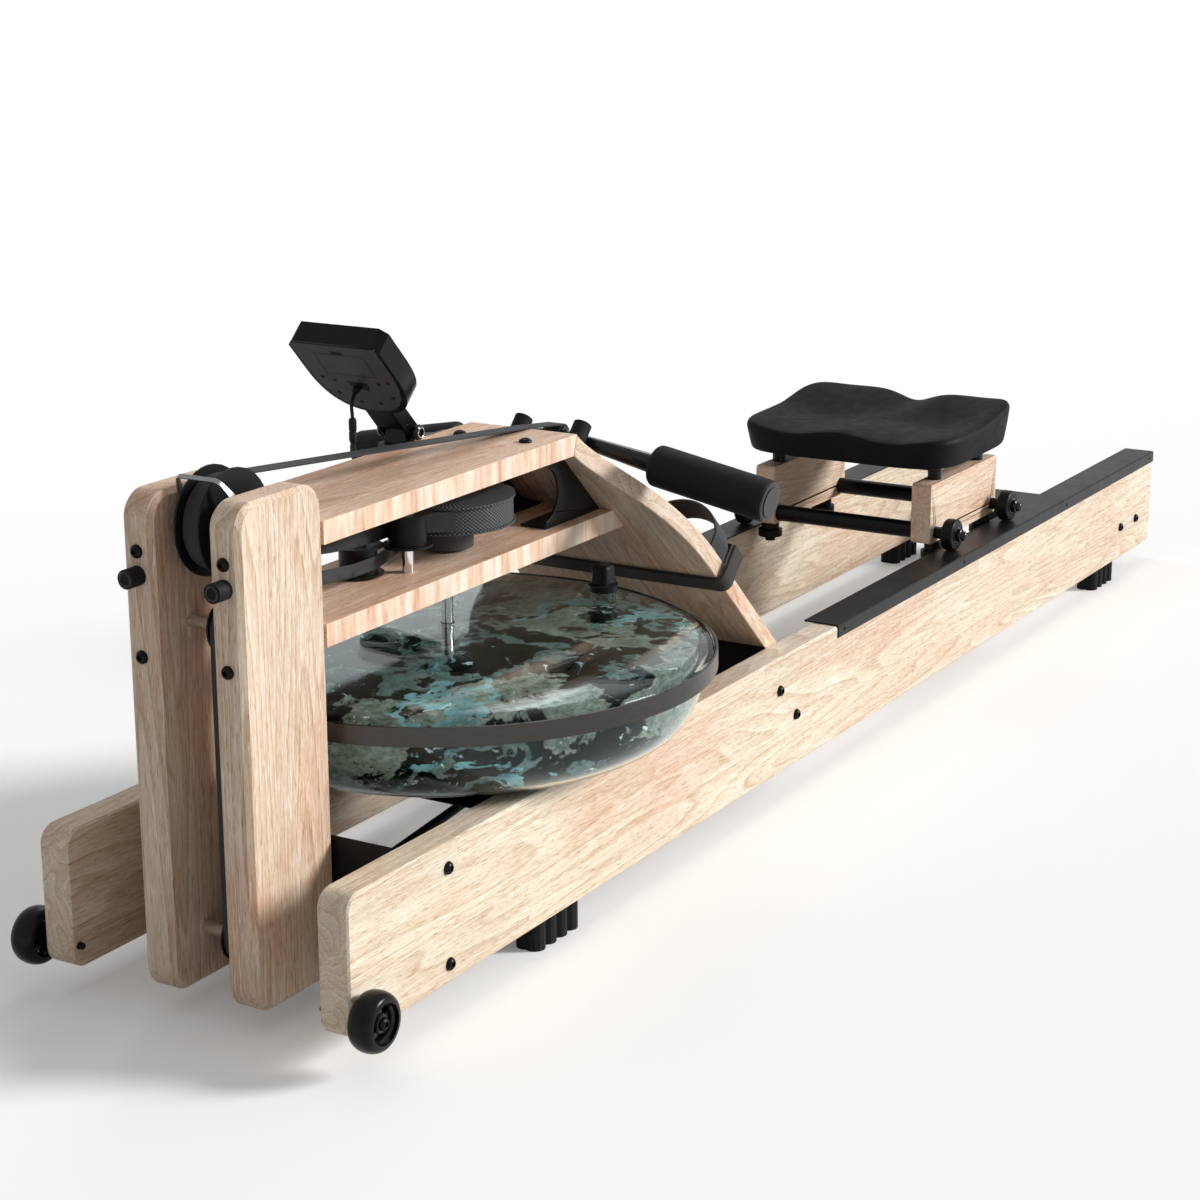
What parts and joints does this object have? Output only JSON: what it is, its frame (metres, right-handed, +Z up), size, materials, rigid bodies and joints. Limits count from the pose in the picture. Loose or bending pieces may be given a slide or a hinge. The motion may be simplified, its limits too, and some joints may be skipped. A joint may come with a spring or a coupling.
{
  "type": "rowing machine",
  "caption": "Wooden rowing machine with a clear water tank, rolling seat, pull handle on a strap, sloping footboard and tilting monitor.",
  "frame": {"origin": "on the floor at the centre of the bounding box's bottom face", "axes": "+X from the tank end towards the rower's end of the beams, +Z up, +Y to the rower's right as they face the tank"},
  "size_m": [2.119, 0.552, 0.593],
  "materials": {
    "timber": "satin, pale open-grained oak",
    "black_steel": "satin black paint",
    "bright_steel": "polished",
    "rubber": "matte black",
    "black_plastic": "satin black",
    "roller_plastic": "smooth dark",
    "webbing": "woven strap",
    "clear_plastic": "clear",
    "water": "clear blue-green liquid",
    "band_metal": "satin grey",
    "cushion": "soft black cover",
    "screen": "dark display",
    "button_plastic": "matte",
    "cable_rubber": "matte black"
  },
  "bodies": {
    "frame": {"left_beam": "timber", "right_beam": "timber", "seat_rails": "black_steel", "front_cross_member": "black_steel", "middle_cross_member": "black_steel", "rear_cross_member": "black_steel", "frame_bolts": "black_steel", "rubber_feet": "rubber", "left_upright": "timber", "right_upright": "timber", "bumper_pegs": "rubber", "upper_deck": "timber", "lower_deck": "timber", "footboard": "timber", "gusset_brackets": "black_steel", "handle_pegs": "rubber", "pulley_axles": "bright_steel", "strap_keeper": "black_steel", "strap_guides": "bright_steel", "tank_lower_shell": "clear_plastic", "tank_upper_shell": "clear_plastic", "tank_band": "band_metal", "tank_water": "water", "tank_cradle": "black_steel", "shaft_bearing": "black_steel", "drive_strap": "webbing", "recoil_strap": "webbing", "monitor_arm": "black_steel", "monitor_cable": "cable_rubber"},
    "cap": {"tank_cap": "black_plastic"},
    "paddle": {"impeller": "black_plastic", "impeller_shaft": "bright_steel"},
    "spool": {"strap_spool": "black_plastic"},
    "front_pulley_body": {"front_pulley": "black_plastic"},
    "middle_pulley_body": {"middle_pulley": "black_plastic"},
    "lower_pulley_body": {"lower_pulley": "black_plastic"},
    "drive_guide": {"drive_guide_roller": "black_plastic"},
    "recoil_guide": {"recoil_guide_roller": "black_plastic"},
    "handle": {"handle_bar": "black_steel", "handle_grips": "rubber"},
    "seat_carriage": {"seat_pad": "cushion", "seat_plate": "black_steel", "carriage_blocks": "timber", "carriage_axles": "bright_steel"},
    "front_seat_rollers": {"front_rollers": "roller_plastic"},
    "rear_seat_rollers": {"rear_rollers": "roller_plastic"},
    "guide_front_left": {"guide_roller_front_left": "roller_plastic"},
    "guide_rear_left": {"guide_roller_rear_left": "roller_plastic"},
    "guide_front_right": {"guide_roller_front_right": "roller_plastic"},
    "guide_rear_right": {"guide_roller_rear_right": "roller_plastic"},
    "left_wheel": {"left_transport_wheel": "black_plastic"},
    "right_wheel": {"right_transport_wheel": "black_plastic"},
    "monitor": {"monitor_case": "black_plastic", "monitor_screen": "screen"},
    "left_key": {"left_button": "button_plastic"},
    "middle_key": {"middle_button": "button_plastic"},
    "right_key": {"right_button": "button_plastic"},
    "foot_rest": {"footrest_bar": "black_steel", "heel_rests": "black_plastic", "foot_straps": "webbing"}
  },
  "joints": [
    {"name": "handle_pull", "type": "slide", "parent": "frame", "child": "handle", "axis": [0.9962, 0, 0.0872], "range_m": [0, 1.05]},
    {"name": "front_pulley_spin", "type": "hinge", "parent": "frame", "child": "front_pulley_body", "pos_m": [-0.96905, 0, 0.4646], "axis": [0, 1, 0], "continuous": true},
    {"name": "middle_pulley_spin", "type": "hinge", "parent": "frame", "child": "middle_pulley_body", "pos_m": [-0.98155, -0.015, 0.3728], "axis": [0, 1, 0], "continuous": true},
    {"name": "lower_pulley_spin", "type": "hinge", "parent": "frame", "child": "lower_pulley_body", "pos_m": [-0.98155, -0.015, 0.0777], "axis": [0, 1, 0], "continuous": true},
    {"name": "spool_spin", "type": "hinge", "parent": "frame", "child": "spool", "pos_m": [-0.61755, 0, 0.39], "axis": [0, 0, 1], "continuous": true},
    {"name": "drive_guide_spin", "type": "hinge", "parent": "frame", "child": "drive_guide", "pos_m": [-0.71815, -0.0231, 0.4075], "axis": [0, 0, 1], "continuous": true},
    {"name": "recoil_guide_spin", "type": "hinge", "parent": "frame", "child": "recoil_guide", "pos_m": [-0.75285, 0.011, 0.38], "axis": [0, 0, 1], "continuous": true},
    {"name": "paddle_spin", "type": "hinge", "parent": "frame", "child": "paddle", "pos_m": [-0.61755, 0, 0.206], "axis": [0, 0, 1], "continuous": true},
    {"name": "cap_lift", "type": "slide", "parent": "frame", "child": "cap", "axis": [0, 0, 1], "range_m": [0, 0.05]},
    {"name": "seat_roll", "type": "slide", "parent": "frame", "child": "seat_carriage", "axis": [1, 0, 0], "range_m": [-0.36, 0.49]},
    {"name": "front_rollers_spin", "type": "hinge", "parent": "seat_carriage", "child": "front_seat_rollers", "pos_m": [0.33385, 0, 0.1906], "axis": [0, 1, 0], "continuous": true},
    {"name": "rear_rollers_spin", "type": "hinge", "parent": "seat_carriage", "child": "rear_seat_rollers", "pos_m": [0.52505, 0, 0.1906], "axis": [0, 1, 0], "continuous": true},
    {"name": "guide_front_left_spin", "type": "hinge", "parent": "seat_carriage", "child": "guide_front_left", "pos_m": [0.34745, -0.12, 0.168], "axis": [0, 0, 1], "continuous": true},
    {"name": "guide_rear_left_spin", "type": "hinge", "parent": "seat_carriage", "child": "guide_rear_left", "pos_m": [0.51145, -0.12, 0.168], "axis": [0, 0, 1], "continuous": true},
    {"name": "guide_front_right_spin", "type": "hinge", "parent": "seat_carriage", "child": "guide_front_right", "pos_m": [0.34745, 0.12, 0.168], "axis": [0, 0, 1], "continuous": true},
    {"name": "guide_rear_right_spin", "type": "hinge", "parent": "seat_carriage", "child": "guide_rear_right", "pos_m": [0.51145, 0.12, 0.168], "axis": [0, 0, 1], "continuous": true},
    {"name": "left_wheel_spin", "type": "hinge", "parent": "frame", "child": "left_wheel", "pos_m": [-1.03105, -0.1947, 0.0525], "axis": [0, 1, 0], "continuous": true},
    {"name": "right_wheel_spin", "type": "hinge", "parent": "frame", "child": "right_wheel", "pos_m": [-1.03105, 0.1947, 0.0525], "axis": [0, 1, 0], "continuous": true},
    {"name": "monitor_tilt", "type": "hinge", "parent": "frame", "child": "monitor", "pos_m": [-0.57955, 0.079, 0.4697], "axis": [0, 1, 0], "range_deg": [-20, 30], "deforming": ["monitor_cable"]},
    {"name": "left_key_press", "type": "slide", "parent": "monitor", "child": "left_key", "axis": [-0.7193, 0, -0.6947], "range_m": [0, 0.0012], "stiffness_N_per_m": 400, "springref_m": -0.0005},
    {"name": "middle_key_press", "type": "slide", "parent": "monitor", "child": "middle_key", "axis": [-0.7193, 0, -0.6947], "range_m": [0, 0.0012], "stiffness_N_per_m": 400, "springref_m": -0.0005},
    {"name": "right_key_press", "type": "slide", "parent": "monitor", "child": "right_key", "axis": [-0.7193, 0, -0.6947], "range_m": [0, 0.0012], "stiffness_N_per_m": 400, "springref_m": -0.0005},
    {"name": "foot_rest_slide", "type": "slide", "parent": "frame", "child": "foot_rest", "axis": [0.7337, 0, -0.6794], "range_m": [-0.055, 0.09]}
  ],
  "couplings": [
    {"joint": "front_pulley_spin", "follows": "handle_pull", "rad_per_m": 23.753},
    {"joint": "spool_spin", "follows": "handle_pull", "rad_per_m": -14.306},
    {"joint": "drive_guide_spin", "follows": "handle_pull", "rad_per_m": 49.751},
    {"joint": "recoil_guide_spin", "follows": "handle_pull", "rad_per_m": -20.925},
    {"joint": "middle_pulley_spin", "follows": "handle_pull", "rad_per_m": 19.383},
    {"joint": "lower_pulley_spin", "follows": "handle_pull", "rad_per_m": 19.383},
    {"joint": "front_rollers_spin", "follows": "seat_roll", "rad_per_m": 48.309},
    {"joint": "rear_rollers_spin", "follows": "seat_roll", "rad_per_m": 48.309},
    {"joint": "guide_front_left_spin", "follows": "seat_roll", "rad_per_m": -83.333},
    {"joint": "guide_rear_left_spin", "follows": "seat_roll", "rad_per_m": -83.333},
    {"joint": "guide_front_right_spin", "follows": "seat_roll", "rad_per_m": 83.333},
    {"joint": "guide_rear_right_spin", "follows": "seat_roll", "rad_per_m": 83.333}
  ]
}
